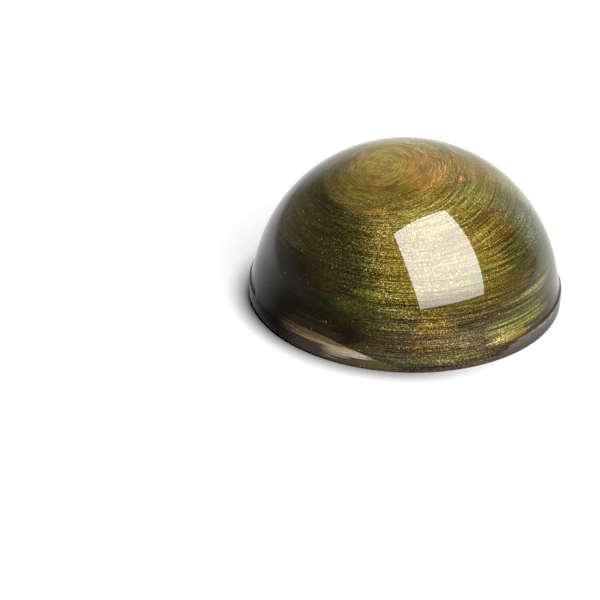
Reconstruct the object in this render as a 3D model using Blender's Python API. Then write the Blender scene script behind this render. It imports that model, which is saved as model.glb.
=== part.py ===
"""A moulded chocolate praline: a half ball of painted chocolate on a plain chocolate base.

Units are metres and +Z is up. The origin is the middle of the flat underside.
"""

import math

import bmesh
import bpy

# The dome takes the shape of the mould's round cavity.
DOME_RADIUS = 0.0150
BALL_HEIGHT = 0.00035  # the ball's middle, above the underside
DOME_HEEL = 0.00018  # rounding where the dome's side meets its flat bottom

# The base is the chocolate that closes the mould, scraped flat. It stands out below the dome as a foot.
BASE_THICKNESS = 0.0016
FOOT_RADIUS = 0.01517
FOOT_FLARE = 0.00010  # how far the foot widens from its sole up to its shoulder
SHOULDER = 0.00030  # rounding along the foot's upper edge
SOLE_EDGE = 0.00012  # rounding along the edge of the underside
SEAM_GAP = 0.0003

# The foot's edge is as uneven as poured chocolate: waves round the rim, as (count, height, start).
RIM_WAVES = (
    (3, 0.000035, 0.6),
    (7, 0.000020, 2.1),
    (12, 0.000012, 4.0),
)

SEGMENTS = 96
DOME_RINGS = 26
ROUND_STEPS = 3
MERGE = 0.0000005


def clear_scene():
    for thing in list(bpy.data.objects):
        bpy.data.objects.remove(thing, do_unlink=True)


def finish(name, colour, roughness, metallic, coat):
    """A Principled material with the piece's own colour and gloss."""
    material = bpy.data.materials.new(name)
    material.use_nodes = True
    shader = material.node_tree.nodes["Principled BSDF"]
    shader.inputs["Base Color"].default_value = (*colour, 1.0)
    shader.inputs["Roughness"].default_value = roughness
    shader.inputs["Metallic"].default_value = metallic
    shader.inputs["Coat Weight"].default_value = coat
    return material


def arc(centre, radius, start, end, steps):
    """Points (r, z) along a round stretch, its angles in degrees from the horizontal."""
    points = []
    for step in range(steps + 1):
        angle = math.radians(start + (end - start) * step / steps)
        r = centre[0] + radius * math.cos(angle)
        z = centre[1] + radius * math.sin(angle)
        points.append((r, z))
    return points


def dome_profile():
    """From the pole down the ball's side, round the heel and in to the middle of the flat bottom."""
    bottom = BASE_THICKNESS + SEAM_GAP
    heel_z = bottom + DOME_HEEL
    # The heel's circle touches the ball from inside and the flat bottom from above.
    rise = heel_z - BALL_HEIGHT
    heel_r = math.sqrt((DOME_RADIUS - DOME_HEEL) ** 2 - rise**2)
    touch = math.degrees(math.asin(rise / (DOME_RADIUS - DOME_HEEL)))
    side = arc((0.0, BALL_HEIGHT), DOME_RADIUS, 90.0, touch, DOME_RINGS)
    side[0] = (0.0, BALL_HEIGHT + DOME_RADIUS)
    heel = arc((heel_r, heel_z), DOME_HEEL, touch, -90.0, ROUND_STEPS)
    return side + heel[1:] + [(0.0, bottom)]


def base_profile():
    """From the middle of the top out to the shoulder, down the foot and in under it."""
    widest = FOOT_RADIUS + FOOT_FLARE
    shoulder = arc(
        (widest - SHOULDER, BASE_THICKNESS - SHOULDER), SHOULDER, 90.0, 0.0, ROUND_STEPS
    )
    sole = arc((FOOT_RADIUS - SOLE_EDGE, SOLE_EDGE), SOLE_EDGE, 0.0, -90.0, ROUND_STEPS)
    return [(0.0, BASE_THICKNESS)] + shoulder + sole + [(0.0, 0.0)]


def turned(name, profile, material):
    """A closed solid made by spinning a profile once round the Z axis."""
    form = bmesh.new()
    corners = [form.verts.new((r, 0.0, z)) for r, z in profile]
    edges = [form.edges.new(pair) for pair in zip(corners, corners[1:])]
    bmesh.ops.spin(
        form,
        geom=corners + edges,
        cent=(0.0, 0.0, 0.0),
        axis=(0.0, 0.0, 1.0),
        angle=math.tau,
        steps=SEGMENTS,
        use_merge=True,
    )
    bmesh.ops.remove_doubles(form, verts=form.verts, dist=MERGE)
    bmesh.ops.recalc_face_normals(form, faces=form.faces)
    mesh = bpy.data.meshes.new(name)
    form.to_mesh(mesh)
    form.free()
    mesh.shade_smooth()
    mesh.set_sharp_from_angle(angle=math.radians(40.0))
    mesh.materials.append(material)
    piece = bpy.data.objects.new(name, mesh)
    bpy.context.scene.collection.objects.link(piece)
    return piece


def make_rim_uneven(piece):
    """Moves the foot's outer face in and out, and leaves what lies inside it alone."""
    inner = FOOT_RADIUS - SOLE_EDGE
    for corner in piece.data.vertices:
        reach = math.hypot(corner.co.x, corner.co.y)
        if reach < inner - MERGE:
            continue
        angle = math.atan2(corner.co.y, corner.co.x)
        shift = sum(high * math.sin(count * angle + start) for count, high, start in RIM_WAVES)
        corner.co.x += shift * math.cos(angle)
        corner.co.y += shift * math.sin(angle)


clear_scene()

painted_chocolate = finish("painted_chocolate", (0.13, 0.115, 0.03), 0.35, 0.5, 1.0)
turned("painted_dome", dome_profile(), painted_chocolate)

dark_chocolate = finish("dark_chocolate", (0.075, 0.045, 0.032), 0.42, 0.0, 0.3)
base = turned("chocolate_base", base_profile(), dark_chocolate)
make_rim_uneven(base)
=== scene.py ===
import math

import bmesh
import bpy
from mathutils import Matrix, Quaternion, Vector, noise


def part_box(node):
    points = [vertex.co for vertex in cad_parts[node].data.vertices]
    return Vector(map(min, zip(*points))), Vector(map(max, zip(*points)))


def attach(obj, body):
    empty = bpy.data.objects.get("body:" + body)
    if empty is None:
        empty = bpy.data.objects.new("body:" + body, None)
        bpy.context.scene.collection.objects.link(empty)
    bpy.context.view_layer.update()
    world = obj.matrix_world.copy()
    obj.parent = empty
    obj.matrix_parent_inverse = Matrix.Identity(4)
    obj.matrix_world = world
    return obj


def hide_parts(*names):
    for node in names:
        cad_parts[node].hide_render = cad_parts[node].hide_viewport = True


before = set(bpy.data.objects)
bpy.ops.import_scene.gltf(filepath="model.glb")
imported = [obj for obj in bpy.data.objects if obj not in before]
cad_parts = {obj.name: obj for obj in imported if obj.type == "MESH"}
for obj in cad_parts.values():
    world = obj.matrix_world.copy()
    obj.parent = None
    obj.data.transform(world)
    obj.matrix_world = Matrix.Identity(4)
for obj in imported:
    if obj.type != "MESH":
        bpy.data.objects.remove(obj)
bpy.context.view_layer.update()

# The painted dome.
# Coloured cocoa butter is brushed into a mould's half-ball hollow while it turns, so the strokes run round the
# crown, and chocolate is cast behind it. The polished mould leaves the outside mirror-smooth.
dome_low, dome_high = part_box("painted_dome")
base_low, base_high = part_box("chocolate_base")
DOME_RADIUS = 0.0150
BALL_HEIGHT = dome_high.z - DOME_RADIUS
FOOT_RADIUS = (base_high.x - base_low.x) / 2  # at its widest, just under its rounded shoulder
SOLE_RADIUS = FOOT_RADIUS - 0.00010
SEAM_HEIGHT = (base_high.z + dome_low.z) / 2 - 0.00003
SEAM_WIDTH = 0.00022
LIP = 0.00010  # how far the dome's own lower edge turns out, over LIP_HEIGHT
LIP_HEIGHT = 0.0005
FLARE_TOP = 0.0030  # where paint bridges the seam, the side flares from this height down to FLARE_FOOT
FLARE_FOOT = 0.0008
BRIDGE_MIDDLE = math.radians(-6.0)  # turned about the axis from the front, to the right
BRIDGE_HALF = math.radians(64.0)
BRIDGE_FADE = math.radians(6.0)


def smooth(share):
    share = min(1.0, max(0.0, share))
    return share * share * (3.0 - 2.0 * share)


def bridge(place):
    """1 at the front, where the paint runs on over the seam and the foot, and 0 where the seam lies open."""
    turn = math.atan2(place.x, -place.y) - BRIDGE_MIDDLE
    return smooth((BRIDGE_HALF + BRIDGE_FADE - abs(turn)) / BRIDGE_FADE)


def side_radius(height):
    """The radius of the bridged side, which flares from the ball out to the foot without a ledge."""
    ball = math.sqrt(DOME_RADIUS**2 - (height - BALL_HEIGHT) ** 2)
    foot = SOLE_RADIUS + 0.00003 * min(1.0, height / FLARE_FOOT)
    share = smooth((FLARE_TOP - height) / (FLARE_TOP - FLARE_FOOT))
    return ball + (foot - ball) * share


def set_radius(place, radius):
    now = math.hypot(place.x, place.y)
    place.x *= radius / now
    place.y *= radius / now


def begin():
    """Nothing stays selected, so that an operator acts on the new piece alone."""
    if bpy.context.mode != "OBJECT":
        bpy.ops.object.mode_set(mode="OBJECT")
    bpy.ops.object.select_all(action="DESELECT")


def select(piece, kind, wanted):
    """In edit mode: selects the vertices, edges or faces that answer a test, and nothing else."""
    bpy.ops.mesh.select_mode(type={"verts": "VERT", "edges": "EDGE", "faces": "FACE"}[kind])
    bpy.ops.mesh.select_all(action="DESELECT")
    form = bmesh.from_edit_mesh(piece.data)
    for part in getattr(form, kind):
        if wanted(part):
            part.select_set(True)
    form.select_flush_mode()
    bmesh.update_edit_mesh(piece.data)


begin()
bpy.ops.mesh.primitive_uv_sphere_add(
    segments=288, ring_count=180, radius=DOME_RADIUS, location=(0.0, 0.0, BALL_HEIGHT)
)
dome = bpy.context.object
dome.name = "dome_skin"
bpy.ops.object.transform_apply(location=True, rotation=True, scale=True)
bpy.ops.object.mode_set(mode="EDIT")
bpy.ops.mesh.select_all(action="SELECT")
bpy.ops.mesh.bisect(
    plane_co=(0.0, 0.0, SEAM_HEIGHT + SEAM_WIDTH / 2),
    plane_no=(0.0, 0.0, 1.0),
    use_fill=True,
    clear_inner=True,
    threshold=0.0000001,
)
for step in (0.00009, 0.00020, 0.00034, 0.00056):
    bpy.ops.mesh.select_all(action="SELECT")
    bpy.ops.mesh.bisect(
        plane_co=(0.0, 0.0, SEAM_HEIGHT + SEAM_WIDTH / 2 + step),
        plane_no=(0.0, 0.0, 1.0),
        threshold=0.0000001,
    )
bpy.ops.object.mode_set(mode="OBJECT")
for corner in dome.data.vertices:
    place = corner.co
    if place.z > FLARE_TOP:
        continue
    share = bridge(place)
    over = (place.z - SEAM_HEIGHT - SEAM_WIDTH / 2) / LIP_HEIGHT
    if over < 0.001:
        place.z -= share * SEAM_WIDTH / 2
    ball = math.hypot(place.x, place.y)
    lip = LIP * max(0.0, 1.0 - over) ** 2
    set_radius(place, ball + (1.0 - share) * lip + share * (side_radius(place.z) - ball))
bpy.ops.object.shade_smooth_by_angle(angle=math.radians(40.0))


class Paint:
    """A material's node tree, with a short way to write each step of a pattern."""

    def __init__(self, name):
        self.material = bpy.data.materials.new(name)
        self.material.use_nodes = True
        self.tree = self.material.node_tree
        self.shader = self.tree.nodes["Principled BSDF"]

    def feed(self, socket, value):
        if isinstance(value, bpy.types.NodeSocket):
            self.tree.links.new(value, socket)
        else:
            socket.default_value = value

    def add(self, kind, inputs=None, **settings):
        node = self.tree.nodes.new(kind)
        for name, value in settings.items():
            setattr(node, name, value)
        for name, value in (inputs or {}).items():
            self.feed(node.inputs[name], value)
        return node

    def calc(self, operation, a, b=0.0, c=0.0):
        return self.add("ShaderNodeMath", {0: a, 1: b, 2: c}, operation=operation).outputs[0]

    def vectors(self, operation, a, b=(0.0, 0.0, 0.0)):
        return self.add("ShaderNodeVectorMath", {0: a, 1: b}, operation=operation).outputs[0]

    def scaled(self, vector, size):
        return self.add(
            "ShaderNodeVectorMath", {0: vector, "Scale": size}, operation="SCALE"
        ).outputs[0]

    def vector(self, x, y, z):
        return self.add("ShaderNodeCombineXYZ", {"X": x, "Y": y, "Z": z}).outputs[0]

    def ramp(self, value, low, high, to_low=0.0, to_high=1.0):
        """A smooth step from to_low to to_high as value goes from low to high."""
        return self.add(
            "ShaderNodeMapRange",
            {"Value": value, "From Min": low, "From Max": high, "To Min": to_low, "To Max": to_high},
            interpolation_type="SMOOTHSTEP",
        ).outputs["Result"]

    def noise(self, vector, detail=2.0, roughness=0.5, scale=1.0):
        return self.add(
            "ShaderNodeTexNoise",
            {"Vector": vector, "Scale": scale, "Detail": detail, "Roughness": roughness},
        ).outputs["Fac"]

    def mix(self, share, a, b, blend="MIX"):
        node = self.add("ShaderNodeMix", data_type="RGBA", blend_type=blend)
        self.feed(node.inputs["Factor"], share)
        self.feed(node.inputs[6], a)
        self.feed(node.inputs[7], b)
        return node.outputs[2]


# The strokes turn round a point beside the crown at the top, and round the axis lower down.
SWIRL_SIDE = -0.0027
SWIRL_DEPTH = -0.0017
SWIRL_LOW = 0.45  # shares of the dome's radius above its middle, between which the strokes change over
SWIRL_HIGH = 0.93


def lay_strokes(paint):
    """Adds the strokes' own measures to a material: how far along and across them a point lies."""
    where = paint.add("ShaderNodeTexCoord").outputs["Object"]
    side, depth, height = paint.add("ShaderNodeSeparateXYZ", {"Vector": where}).outputs
    above = paint.calc("SUBTRACT", height, BALL_HEIGHT)
    lean = paint.ramp(above, SWIRL_LOW * DOME_RADIUS, SWIRL_HIGH * DOME_RADIUS)
    east = paint.calc("MULTIPLY_ADD", lean, -SWIRL_SIDE, side)
    north = paint.calc("MULTIPLY_ADD", lean, -SWIRL_DEPTH, depth)
    squares = paint.calc("MULTIPLY_ADD", east, east, paint.calc("MULTIPLY", north, north))
    reach = paint.calc("MAXIMUM", paint.calc("SQRT", squares), 0.00001)
    paint.where = where
    paint.side = side
    paint.depth = depth
    paint.height = height
    paint.above = above
    paint.east = paint.calc("DIVIDE", east, reach)
    paint.north = paint.calc("DIVIDE", north, reach)
    paint.arc = paint.calc("MULTIPLY", paint.calc("ARCTAN2", reach, above), DOME_RADIUS)
    paint.turn = paint.calc("ARCTAN2", side, paint.calc("MULTIPLY", depth, -1.0))


def stroke(paint, width, bends, detail=2.0, roughness=0.5, shift=0.0):
    """Noise drawn out round the swirl: lines of the given width that change a few times in a turn."""
    along = paint.calc("MULTIPLY", paint.east, bends)
    across = paint.calc("MULTIPLY", paint.north, bends)
    down = paint.calc("MULTIPLY_ADD", paint.arc, 1.0 / width, shift)
    return paint.noise(paint.vector(along, across, down), detail, roughness)


def daub(paint, under, colour, turn, slope, length, width, strength=1.0, fray=1.0):
    """Lays a dab of another colour at a turn from the front and a slope from the crown, both in degrees."""
    turn, slope = math.radians(turn), math.radians(slope)
    above = DOME_RADIUS * math.cos(slope)
    lean = smooth((math.cos(slope) - SWIRL_LOW) / (SWIRL_HIGH - SWIRL_LOW))
    east = DOME_RADIUS * math.sin(slope) * math.sin(turn) - lean * SWIRL_SIDE
    north = -DOME_RADIUS * math.sin(slope) * math.cos(turn) - lean * SWIRL_DEPTH
    reach = math.hypot(east, north)
    arc = DOME_RADIUS * math.atan2(reach, above)
    facing = paint.calc(
        "MULTIPLY_ADD", paint.east, east / reach, paint.calc("MULTIPLY", paint.north, north / reach)
    )
    end = 1.0 - math.cos(min(math.pi, length / 2 / reach))
    aside = paint.calc("MULTIPLY_ADD", facing, -1.0 / end, 1.0 / end)
    off = paint.calc("MULTIPLY_ADD", paint.arc, 2.0 / width, -2.0 * arc / width)
    spread = paint.calc("MULTIPLY_ADD", off, off, aside)
    spread = paint.calc("MULTIPLY_ADD", paint.fray, fray, spread)
    share = paint.ramp(spread, 1.3, 0.5, 0.0, strength)
    return paint.mix(share, under, (*colour, 1.0) if isinstance(colour, tuple) else colour)


COPPER = (0.205, 0.112, 0.020)
TAN = (0.175, 0.103, 0.014)
OLIVE_GOLD = (0.075, 0.053, 0.006)
GOLD = (0.056, 0.036, 0.003)
BRONZE = (0.031, 0.020, 0.004)
ORANGE = (0.190, 0.095, 0.010)
RUST = (0.085, 0.048, 0.004)
MOSS = (0.036, 0.036, 0.002)
DEEP_GREEN = (0.045, 0.088, 0.008)
PALE_GREEN = (0.170, 0.185, 0.040)
CREAM = (0.380, 0.350, 0.230)
TAUPE = (0.105, 0.080, 0.040)


def lay_paint(paint):
    """The painted skin's colour: soft zones, then dabs, a painted shade over the left flank, then the brush's
    lines over all of them.
    """
    lay_strokes(paint)
    arc, turn, height, side = paint.arc, paint.turn, paint.height, paint.side
    hair = paint.ramp(stroke(paint, 0.000065, 3.2, 1.0, 0.5), 0.32, 0.68)
    bristle = paint.ramp(stroke(paint, 0.00022, 2.0, 2.0, 0.5, 11.0), 0.30, 0.70)
    band = stroke(paint, 0.00110, 1.2, 2.0, 0.5, 23.0)
    scratch = paint.ramp(stroke(paint, 0.00014, 1.5, 1.0, 0.5, 37.0), 0.56, 0.64)
    cloud = paint.noise(paint.scaled(paint.where, 190.0), 2.0, 0.5)
    paint.fray = paint.calc("MULTIPLY_ADD", bristle, 1.1, paint.calc("MULTIPLY_ADD", hair, 0.7, -0.9))

    # Broad zones from the crown down, clouded and banded, then dabs along the strokes.
    colour = paint.mix(paint.ramp(arc, 0.0026, 0.0060), (*TAN, 1.0), (*OLIVE_GOLD, 1.0))
    colour = paint.mix(paint.ramp(arc, 0.0080, 0.0110), colour, (*GOLD, 1.0))
    colour = paint.mix(paint.ramp(arc, 0.0160, 0.0195), colour, (*BRONZE, 1.0))
    colour = paint.mix(paint.ramp(band, 0.52, 0.66, 0.0, 0.45), colour, (*MOSS, 1.0))
    colour = paint.mix(paint.ramp(cloud, 0.56, 0.70, 0.0, 0.45), colour, (*RUST, 1.0))
    colour = daub(paint, colour, (0.052, 0.038, 0.003), -8, 23, 0.0110, 0.0034, 0.9)
    colour = daub(paint, colour, (0.085, 0.060, 0.009), -5, 30, 0.0070, 0.0022, 0.5)
    rear = paint.calc("MULTIPLY", paint.ramp(paint.depth, -0.0050, 0.0010), paint.ramp(arc, 0.0150, 0.0100))
    rear = paint.calc("MULTIPLY", rear, paint.ramp(side, 0.0040, -0.0020, 0.35, 0.85))
    colour = paint.mix(rear, colour, (0.250, 0.190, 0.026, 1.0))
    colour = daub(paint, colour, (0.260, 0.178, 0.022), -92, 19, 0.0080, 0.0046, 0.8)
    colour = daub(paint, colour, COPPER, 52, 9, 0.0090, 0.0046, 0.9)
    colour = daub(paint, colour, COPPER, 92, 25, 0.0050, 0.0030, 0.5)
    colour = daub(paint, colour, TAN, 80, 30, 0.0050, 0.0030, 0.15)
    colour = daub(paint, colour, (0.34, 0.13, 0.03), 63, 21.8, 0.0012, 0.0006, 0.6)
    colour = daub(paint, colour, DEEP_GREEN, 61, 25.5, 0.0016, 0.0010, 0.7)
    colour = daub(paint, colour, (0.095, 0.086, 0.006), 58, 30, 0.0060, 0.0022, 0.7)
    colour = daub(paint, colour, PALE_GREEN, -166, 15, 0.0080, 0.0024, 0.6)
    colour = daub(paint, colour, ORANGE, -29, 33.8, 0.0050, 0.0006, 0.9)
    colour = daub(paint, colour, (0.060, 0.034, 0.002), 61, 44, 0.0044, 0.0044, 0.8)
    colour = daub(paint, colour, (0.024, 0.022, 0.001), 62, 58, 0.0070, 0.0036, 0.8)
    colour = daub(paint, colour, (0.050, 0.058, 0.011), 84, 62, 0.0070, 0.0110, 0.9)
    colour = daub(paint, colour, PALE_GREEN, 104, 62, 0.0050, 0.0120, 0.7)

    # Painted shade: the left flank is made much darker, and greener where this shade lies; the dabs after it
    # keep their own strength.
    shade = paint.calc("MULTIPLY_ADD", paint.above, 0.8, side)
    painted_shade = paint.calc(
        "ADD", paint.ramp(shade, -0.0055, -0.0010, 0.16, 0.34), paint.ramp(shade, 0.0020, 0.0095, 0.0, 0.64)
    )
    painted_shade = paint.calc("MAXIMUM", painted_shade, paint.ramp(side, -0.0065, -0.0015))
    shaded_green = paint.calc(
        "MULTIPLY", paint.ramp(shade, 0.0060, -0.0020, 0.0, 0.6), paint.ramp(paint.above, 0.0026, 0.0052)
    )
    colour = paint.mix(shaded_green, colour, (0.066, 0.063, 0.008, 1.0))
    colour = paint.mix(1.0, colour, painted_shade, "MULTIPLY")
    colour = daub(paint, colour, (0.120, 0.088, 0.013), -57, 29, 0.0100, 0.0042, 0.8)
    colour = daub(paint, colour, (0.066, 0.054, 0.012), -78, 50, 0.0120, 0.0080, 0.8)
    colour = daub(paint, colour, (0.036, 0.018, 0.004), -33, 64.5, 0.0016, 0.0007, 0.9)
    colour = daub(paint, colour, (0.036, 0.026, 0.005), -36, 82, 0.0060, 0.0030, 0.7)
    colour = daub(paint, colour, (0.048, 0.034, 0.012), -8, 86.0, 0.0090, 0.0020, 0.6)
    colour = daub(paint, colour, (0.052, 0.056, 0.004), -15, 63.2, 0.0036, 0.0007, 1.0)
    colour = daub(paint, colour, (0.032, 0.033, 0.003), -19, 68.8, 0.0046, 0.0018, 0.8)
    streak = paint.ramp(stroke(paint, 0.00021, 0.8, 2.0, 0.5, 53.0), 0.42, 0.60)
    leafy = paint.mix(streak, (0.044, 0.040, 0.004, 1.0), (0.215, 0.198, 0.036, 1.0))
    colour = daub(paint, colour, leafy, 62, 71.5, 0.0090, 0.0009, 0.7)
    colour = daub(paint, colour, leafy, 49, 78.5, 0.0090, 0.0024, 0.9)
    sunny = paint.mix(streak, (0.200, 0.150, 0.025, 1.0), (0.420, 0.280, 0.075, 1.0))
    colour = daub(paint, colour, sunny, 42, 83.2, 0.0050, 0.0010, 1.0)
    colour = daub(paint, colour, (0.060, 0.066, 0.007), 19, 86.4, 0.0080, 0.0009, 0.6)
    colour = daub(paint, colour, (0.070, 0.047, 0.012), 23, 81.0, 0.0070, 0.0022, 0.5)
    colour = daub(paint, colour, (0.080, 0.050, 0.024), 24, 90.7, 0.0080, 0.0006, 0.7)

    # A wedge of pale, orange and grey-brown bands low at the left front.
    past = paint.calc("MAXIMUM", paint.calc("MULTIPLY_ADD", turn, 2.12, 1.257), 0.0)
    wedge_top = paint.calc("MULTIPLY_ADD", paint.calc("POWER", past, 1.50), -0.00140, 0.00240)
    wedge = paint.ramp(paint.calc("SUBTRACT", height, wedge_top), 0.00004, -0.00004)
    drawn = paint.calc("MULTIPLY_ADD", paint.fray, 0.0005, height)
    low = paint.calc("MULTIPLY_ADD", turn, 0.0023, 0.00166)
    inside = paint.mix(
        paint.ramp(drawn, 0.00160, 0.00180, 1.0, 0.0), (*TAUPE, 1.0), (0.400, 0.240, 0.075, 1.0)
    )
    pale = paint.mix(paint.ramp(turn, -0.56, -0.42), (0.080, 0.066, 0.050, 1.0), (*CREAM, 1.0))
    inside = paint.mix(paint.ramp(drawn, 0.00128, 0.00146, 1.0, 0.0), inside, pale)
    above_low = paint.calc("SUBTRACT", drawn, low)
    inside = paint.mix(paint.ramp(above_low, 0.00006, -0.00006), inside, (0.085, 0.064, 0.020, 1.0))
    near = paint.calc("MULTIPLY", paint.ramp(turn, 0.02, -0.10), paint.ramp(turn, -0.95, -0.65))
    wedge = paint.calc("MULTIPLY", wedge, near)
    colour = paint.mix(wedge, colour, inside)

    # Where the paint lies smooth, the lines and the flakes show less; they are also painted fainter where the
    # softbox's highlight lies.
    highlight_calm = daub(paint, (0.0, 0.0, 0.0, 1.0), (1.0, 1.0, 1.0), 14, 50, 0.0110, 0.0110, 0.5, 0.2)
    highlight_calm = paint.calc("SUBTRACT", 1.0, highlight_calm)
    sleek = daub(paint, (0.0, 0.0, 0.0, 1.0), (1.0, 1.0, 1.0), 60, 74, 0.0130, 0.0090, 0.6, 0.2)
    sleek = daub(paint, sleek, (1.0, 1.0, 1.0), 100, 34, 0.0110, 0.0080, 0.75, 0.2)
    sleek = paint.calc("MAXIMUM", sleek, paint.ramp(side, 0.0112, 0.0135, 0.0, 0.8))
    # In the painted shade on the left, the lines and the flakes are painted fainter too.
    sleek = paint.calc("MAXIMUM", sleek, paint.ramp(shade, 0.0050, -0.0030, 0.0, 0.75))
    sleek = paint.calc("MAXIMUM", sleek, wedge)
    coarse = paint.calc("MULTIPLY", paint.ramp(arc, 0.0030, 0.0120), highlight_calm)
    paint.coarse = paint.calc("MULTIPLY", coarse, paint.calc("SUBTRACT", 1.0, sleek))
    mixed = paint.calc("MULTIPLY_ADD", bristle, 0.35, paint.calc("MULTIPLY_ADD", hair, 0.65, -0.55))
    mixed = paint.calc(
        "MULTIPLY", paint.calc("MULTIPLY", mixed, highlight_calm), paint.calc("MULTIPLY_ADD", sleek, -0.92, 1.0)
    )
    lines = paint.calc("POWER", paint.ramp(arc, 0.0010, 0.0200, 2.6, 14.0), mixed)
    lines = paint.calc("MULTIPLY", lines, paint.ramp(band, 0.25, 0.70, 0.8, 1.2))
    bite = paint.calc("MULTIPLY", scratch, paint.ramp(arc, 0.0080, 0.0150, 0.0, 0.5))
    bite = paint.calc("MULTIPLY", bite, paint.calc("SUBTRACT", 1.0, sleek))
    paint.lines = paint.calc("MULTIPLY", lines, paint.calc("SUBTRACT", 1.0, bite))
    return colour


FLAKE = 0.00007


def lay_flakes(paint, colour, tilt):
    """Mica flakes: each leans its own way and takes more or less of the colour; the brightest are painted pale
    as painted glints, and a rare few as painted sparks.
    """
    flakes = paint.add("ShaderNodeTexVoronoi", {"Vector": paint.where, "Scale": 1.0 / FLAKE})
    coarse = paint.coarse
    lean = paint.vectors("SUBTRACT", flakes.outputs["Color"], (0.5, 0.5, 0.5))
    lean = paint.scaled(lean, paint.calc("MULTIPLY_ADD", coarse, tilt * 0.6, tilt * 0.4))
    flat = paint.add("ShaderNodeNewGeometry").outputs["Normal"]
    paint.feed(
        paint.shader.inputs["Normal"], paint.vectors("NORMALIZE", paint.vectors("ADD", flat, lean))
    )
    glint = paint.add("ShaderNodeSeparateXYZ", {"Vector": flakes.outputs["Color"]}).outputs[0]
    strength = paint.calc("MULTIPLY_ADD", coarse, 6.5, 1.6)
    gain = paint.calc("POWER", strength, paint.calc("SUBTRACT", glint, 0.55))
    # Painted glints: the more colour a flake and its line take, the paler their colour; the less, the
    # yellower.
    light = paint.calc("MULTIPLY", gain, paint.lines)
    tint = paint.mix(paint.ramp(light, 0.0, 2.2), (1.0, 0.94, 0.15, 1.0), (1.0, 1.06, 2.3, 1.0))
    colour = paint.mix(1.0, colour, paint.mix(1.0, tint, light, "MULTIPLY"), "MULTIPLY")
    painted_glint = paint.mix(1.0, colour, (1.6, 1.8, 2.4, 1.0), "MULTIPLY")
    # Painted glints: flakes that take the most colour are paled further.
    pale = paint.calc("MULTIPLY", paint.ramp(glint, 0.72, 0.95), coarse)
    colour = paint.mix(pale, colour, painted_glint)
    # Painted sparks: a rare few flakes are painted pale cream.
    painted_spark = paint.add("ShaderNodeSeparateXYZ", {"Vector": flakes.outputs["Color"]}).outputs[2]
    return paint.mix(paint.ramp(painted_spark, 0.9986, 0.9992), colour, (0.40, 0.37, 0.25, 1.0))


painted = Paint("painted_chocolate")
shade = lay_flakes(painted, lay_paint(painted), 0.36)
painted.feed(painted.shader.inputs["Base Color"], shade)
painted.feed(painted.shader.inputs["Roughness"], 0.50)
painted.feed(painted.shader.inputs["Metallic"], 0.60)
painted.feed(painted.shader.inputs["Coat Weight"], 1.0)
painted.feed(painted.shader.inputs["Coat Roughness"], 0.02)
painted.feed(painted.shader.inputs["Coat IOR"], 1.46)
painted.feed(painted.shader.inputs["Specular Tint"], (0.25, 0.21, 0.08, 1.0))
dome.data.materials.append(painted.material)

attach(dome, "root")
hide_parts("painted_dome")

# The chocolate base.
# Dark chocolate is poured in last to close the mould and scraped flat. It stands out below the dome as a foot,
# bare at the right and the back and painted over at the front.
SHOULDER = 0.00030
SOLE_EDGE = 0.00012
base_top = SEAM_HEIGHT - SEAM_WIDTH / 2
begin()
bpy.ops.mesh.primitive_cylinder_add(
    vertices=288, radius=FOOT_RADIUS, depth=base_top, location=(0.0, 0.0, base_top / 2)
)
base = bpy.context.object
base.name = "chocolate_foot"
bpy.ops.object.transform_apply(location=True, rotation=True, scale=True)
bpy.ops.object.mode_set(mode="EDIT")
select(base, "faces", lambda face: face.normal.z < -0.9)
draw_in = SOLE_RADIUS / FOOT_RADIUS
bpy.ops.transform.resize(value=(draw_in, draw_in, 1.0), center_override=(0.0, 0.0, 0.0))
select(base, "edges", lambda edge: all(v.co.z > 0.99 * base_top for v in edge.verts))
bpy.ops.mesh.bevel(offset=SHOULDER, segments=6, profile=0.5)
select(base, "edges", lambda edge: all(v.co.z < 0.00001 for v in edge.verts))
bpy.ops.mesh.bevel(offset=SOLE_EDGE, segments=3, profile=0.5)
for step in range(1, 8):
    bpy.ops.mesh.select_all(action="SELECT")
    bpy.ops.mesh.bisect(
        plane_co=(0.0, 0.0, 0.00012 + step * 0.00016), plane_no=(0.0, 0.0, 1.0), threshold=0.0000001
    )
bpy.ops.object.mode_set(mode="OBJECT")
for corner in base.data.vertices:
    place = corner.co
    reach = math.hypot(place.x, place.y)
    if reach < FOOT_RADIUS - SHOULDER - 0.00001:
        continue
    share = bridge(place)
    if place.z > 0.999 * base_top:
        place.z += share * SEAM_WIDTH / 2
    if place.z > SOLE_EDGE:
        rough = noise.noise(place * 700.0) * 0.000018 - max(0.0, noise.noise(place * 1900.0) - 0.35) * 0.00018
        set_radius(place, reach + share * (side_radius(place.z) - reach) + (1.0 - share) * rough)
bpy.ops.object.shade_smooth_by_angle(angle=math.radians(40.0))

BARE = (0.030, 0.021, 0.013)
BARE_SHEEN = (0.066, 0.052, 0.046)
foot = Paint("dark_chocolate")
paint_colour = lay_flakes(foot, lay_paint(foot), 0.30)
right_rise = foot.calc("MAXIMUM", foot.calc("MULTIPLY_ADD", foot.turn, 1.90, -0.70), 0.0)
left_rise = foot.calc("MAXIMUM", foot.calc("MULTIPLY_ADD", foot.turn, -1.637, -1.143), 0.0)
rise = foot.calc("MAXIMUM", right_rise, left_rise)
spill_edge = foot.calc("MULTIPLY", foot.calc("MULTIPLY", rise, rise), 0.00175)
drips = foot.noise(foot.scaled(foot.where, 1700.0), 3.0, 0.6)
drips = foot.calc("MULTIPLY_ADD", drips, 0.0022, foot.calc("MULTIPLY_ADD", foot.fray, 0.0004, -0.0011))
reach_down = foot.calc("SUBTRACT", foot.calc("ADD", drips, foot.height), spill_edge)
covered = foot.ramp(reach_down, -0.00005, 0.00005)
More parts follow.
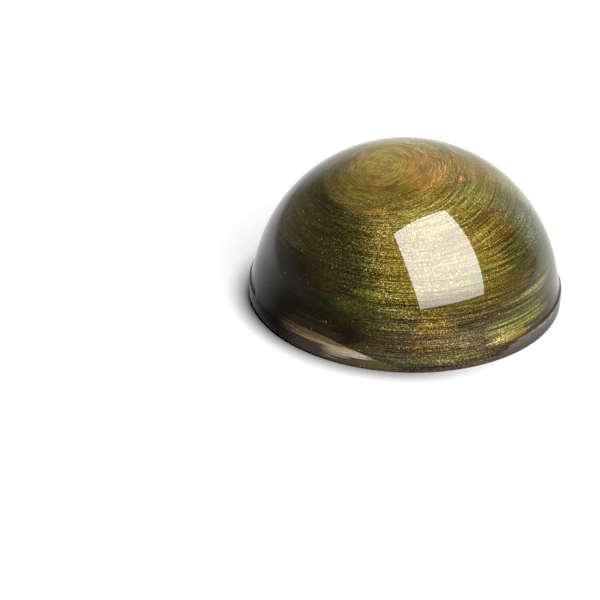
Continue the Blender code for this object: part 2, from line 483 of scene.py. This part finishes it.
# Painted highlight: a thin pale line near the top of the foot at the right, where its shoulder catches the
# softbox.
shoulder_highlight = foot.calc("ABSOLUTE", foot.calc("SUBTRACT", foot.height, 0.00140))
shoulder_highlight = foot.calc("MULTIPLY_ADD", drips, 0.25, shoulder_highlight)
shoulder_highlight = foot.calc("MULTIPLY", foot.ramp(shoulder_highlight, 0.00008, 0.00002), foot.ramp(foot.turn, 1.60, 1.35))
shoulder_highlight = foot.calc("MULTIPLY", shoulder_highlight, foot.ramp(foot.turn, 0.80, 1.0))
# Painted sheen: the bare foot is painted lighter and greyer towards its top, where it mirrors the light room.
painted_sheen = foot.noise(foot.scaled(foot.where, 900.0), 3.0, 0.6)
painted_sheen = foot.ramp(foot.calc("MULTIPLY_ADD", painted_sheen, 0.0010, foot.height), 0.0008, 0.0022)
bare = foot.mix(painted_sheen, (*BARE, 1.0), (*BARE_SHEEN, 1.0))
surface = foot.mix(covered, bare, paint_colour)
surface = foot.mix(foot.calc("MULTIPLY", shoulder_highlight, 0.5), surface, (0.150, 0.150, 0.070, 1.0))
# Painted shade: the foot's top edge is darkened where the seam lies open, as shade in the groove.
groove_shade = foot.calc(
    "MULTIPLY", foot.ramp(foot.height, 0.00148, 0.00156), foot.calc("SUBTRACT", 1.0, covered)
)
surface = foot.mix(groove_shade, surface, (0.012, 0.009, 0.004, 1.0))
foot.feed(foot.shader.inputs["Base Color"], surface)
foot.feed(foot.shader.inputs["Metallic"], foot.calc("MULTIPLY", covered, 0.60))
foot.feed(foot.shader.inputs["Roughness"], 0.50)
foot.feed(foot.shader.inputs["Coat Weight"], 0.60)
foot.feed(foot.shader.inputs["Coat Roughness"], 0.12)
foot.feed(foot.shader.inputs["Coat IOR"], 1.46)
foot.feed(foot.shader.inputs["Specular Tint"], (0.25, 0.25, 0.25, 1.0))
base.data.materials.append(foot.material)
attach(base, "root")
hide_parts("chocolate_base")

# The table.
# A plain white board, lit and glowing. Seen straight on it shows white, with a painted shadow just under the
# praline; to all else it glows as painted light for the praline's gloss, brighter behind and dimmer on the
# left.
begin()
bpy.ops.mesh.primitive_circle_add(vertices=96, radius=0.6, fill_type="NGON", location=(0.0, 0.0, 0.0))
table = bpy.context.object
table.name = "table"
board = Paint("white_board")
seen = board.add("ShaderNodeLightPath").outputs["Is Camera Ray"]
spot = board.add("ShaderNodeTexCoord").outputs["Object"]
spot_side, spot_depth, spot_height = board.add("ShaderNodeSeparateXYZ", {"Vector": spot}).outputs
# Painted shade in the glow: it is dimmer on the left, so the praline's gloss mirrors less light there.
far_left = board.calc("MAXIMUM", board.calc("MULTIPLY", spot_side, -0.42), 0.0)
behind = board.calc("DIVIDE", board.calc("ADD", spot_depth, 0.006), board.calc("ADD", far_left, 0.010))
behind = board.calc("MULTIPLY", board.calc("MINIMUM", board.calc("MAXIMUM", behind, 0.0), 1.0), 0.95)
beside = board.ramp(spot_side, -0.015, 0.015, 0.0, 0.45)
span = board.calc(
    "MAXIMUM", board.add("ShaderNodeVectorMath", {0: spot}, operation="LENGTH").outputs["Value"], 0.001
)
toward_wall = board.calc("DIVIDE", board.calc("MULTIPLY_ADD", spot_side, 0.25, spot_depth), span)
far_glow = board.ramp(toward_wall, 0.60, 0.92, 0.0, 0.80)
low_glow = board.ramp(board.calc("DIVIDE", spot_depth, span), -0.6, 0.1, 0.0, 0.20)
far_glow = board.calc("MAXIMUM", far_glow, low_glow)
near_glow = board.calc("MAXIMUM", behind, beside)
far = board.ramp(span, 0.02, 0.16)
glow = board.calc("MULTIPLY_ADD", board.calc("SUBTRACT", far_glow, near_glow), far, near_glow)
glow = board.calc("ADD", glow, 0.10)
spot_turn = board.calc("ARCTAN2", spot_side, board.calc("MULTIPLY", spot_depth, -1.0))
# Painted shadow: the glow seen straight on is dimmed just under the praline's front and left.
painted_contact_shadow = board.calc(
    "MULTIPLY", board.ramp(spot_turn, 0.75, -0.05, 0.12, 0.78), board.ramp(spot_turn, -2.4, -1.2)
)
painted_contact_shadow = board.calc("MULTIPLY", painted_contact_shadow, board.ramp(span, 0.0178, 0.0148))
plain = board.calc("SUBTRACT", 0.62, painted_contact_shadow)
glow = board.calc("MULTIPLY_ADD", board.calc("SUBTRACT", plain, glow), seen, glow)
board.feed(
    board.shader.inputs["Base Color"], board.mix(seen, (0.0, 0.0, 0.0, 1.0), (0.16, 0.16, 0.16, 1.0))
)
board.feed(board.shader.inputs["Roughness"], 0.8)
board.feed(board.shader.inputs["Specular IOR Level"], 0.0)
board.feed(board.shader.inputs["Emission Color"], (1.0, 1.0, 1.0, 1.0))
board.feed(board.shader.inputs["Emission Strength"], glow)
table.data.materials.append(board.material)

# The light.
# One large rectangular softbox stands at the front right and leans over the praline, in a dim room whose far
# wall is light.
SOFTBOX_MIDDLE = Vector((0.3844, -0.4631, 0.7986))
SOFTBOX_ACROSS = Vector((0.7781, 0.6266, -0.0434))
SOFTBOX_UP = Vector((-0.3639, 0.5061, 0.7820))
SOFTBOX_SIZE = (0.975, 1.286)
SOFTBOX_DISTANCE = 1.2
SOFTBOX_RADIANCE = 14.5
lamp = bpy.data.lights.new("softbox", "AREA")
lamp.shape = "RECTANGLE"
lamp.size = SOFTBOX_SIZE[0] * SOFTBOX_DISTANCE
lamp.size_y = SOFTBOX_SIZE[1] * SOFTBOX_DISTANCE
lamp.energy = SOFTBOX_RADIANCE * math.pi * lamp.size * lamp.size_y
lamp.use_nodes = True
lamp_tree = lamp.node_tree
lamp_place = lamp_tree.nodes.new("ShaderNodeNewGeometry").outputs["Parametric"]
lamp_split = lamp_tree.nodes.new("ShaderNodeSeparateXYZ")
lamp_tree.links.new(lamp_place, lamp_split.inputs[0])
lamp_fall = lamp_tree.nodes.new("ShaderNodeMapRange")
lamp_fall.interpolation_type = "SMOOTHSTEP"
lamp_tree.links.new(lamp_split.outputs["Y"], lamp_fall.inputs["Value"])
lamp_fall.inputs["From Min"].default_value = 0.0
lamp_fall.inputs["From Max"].default_value = 0.25
lamp_fall.inputs["To Min"].default_value = 0.62
lamp_fall.inputs["To Max"].default_value = 1.0
lamp_tree.links.new(lamp_fall.outputs["Result"], lamp_tree.nodes["Emission"].inputs["Strength"])
softbox = bpy.data.objects.new("softbox", lamp)
bpy.context.scene.collection.objects.link(softbox)
softbox.location = SOFTBOX_MIDDLE * SOFTBOX_DISTANCE
facing = SOFTBOX_ACROSS.cross(SOFTBOX_UP).normalized()
softbox.rotation_mode = "QUATERNION"
softbox.rotation_quaternion = Matrix((SOFTBOX_ACROSS, SOFTBOX_UP, facing)).transposed().to_quaternion()

world = bpy.data.worlds.new("studio")
bpy.context.scene.world = world
world.use_nodes = True


class Room(Paint):
    """The world's node tree, written with the same steps as a material's."""

    def __init__(self, owner):
        self.tree = owner.node_tree
        self.shader = self.tree.nodes["Background"]


room = Room(world)
toward = room.add("ShaderNodeTexCoord").outputs["Generated"]
room_side, room_depth, room_height = room.add("ShaderNodeSeparateXYZ", {"Vector": toward}).outputs
level = room.calc("MULTIPLY_ADD", room_side, room_side, room.calc("MULTIPLY", room_depth, room_depth))
level = room.calc("SQRT", level)
away = room.calc("DIVIDE", room.calc("MULTIPLY_ADD", room_side, 0.25, room_depth), level)
low_wall = room.ramp(room_height, 0.30, 0.02, 0.0, 0.40)
far_wall = room.calc("MULTIPLY_ADD", room.ramp(room_height, 0.88, 0.70), 0.40, low_wall)
far_wall = room.calc("MULTIPLY", room.ramp(away, 0.60, 0.92), far_wall)
skirting = room.calc(
    "MULTIPLY", room.ramp(room_height, 0.28, -0.02), room.ramp(room_side, -0.9, 0.9, 0.20, 0.30)
)
skirting = room.calc("MULTIPLY", skirting, room.ramp(room_depth, -0.6, 0.1))
wall = room.calc("ADD", room.calc("MAXIMUM", far_wall, skirting), 0.09)
in_view = room.add("ShaderNodeLightPath").outputs["Is Camera Ray"]
room.feed(room.shader.inputs["Strength"], room.calc("MAXIMUM", wall, in_view))
room.feed(room.shader.inputs["Color"], (1.0, 1.0, 1.0, 1.0))

# The camera.
# It looks down at the praline by just under 30 degrees, past its left side, and is held a little askew.
CAMERA_DISTANCE = 0.400
CAMERA_SLOPE = math.radians(29.6)
CAMERA_ROLL = math.radians(1.7)
ball_middle = Vector((0.0, 0.0, BALL_HEIGHT))
camera_data = bpy.data.cameras.new("camera")
camera_data.lens = 245.66
camera_data.sensor_width = 36.0
camera_data.clip_start = 0.01
camera = bpy.data.objects.new("camera", camera_data)
bpy.context.scene.collection.objects.link(camera)
back = Vector((0.0, -math.cos(CAMERA_SLOPE), math.sin(CAMERA_SLOPE)))
upward = Vector((0.0, math.sin(CAMERA_SLOPE), math.cos(CAMERA_SLOPE)))
camera.location = ball_middle + back * CAMERA_DISTANCE
aim = ball_middle - Vector((0.01019, 0.0, 0.0)) - upward * 0.001394
camera.rotation_mode = "QUATERNION"
turned = Quaternion((0.0, 0.0, 1.0), CAMERA_ROLL)
camera.rotation_quaternion = (aim - camera.location).to_track_quat("-Z", "Y") @ turned
bpy.context.scene.camera = camera
bpy.context.scene.view_settings.view_transform = "Standard"
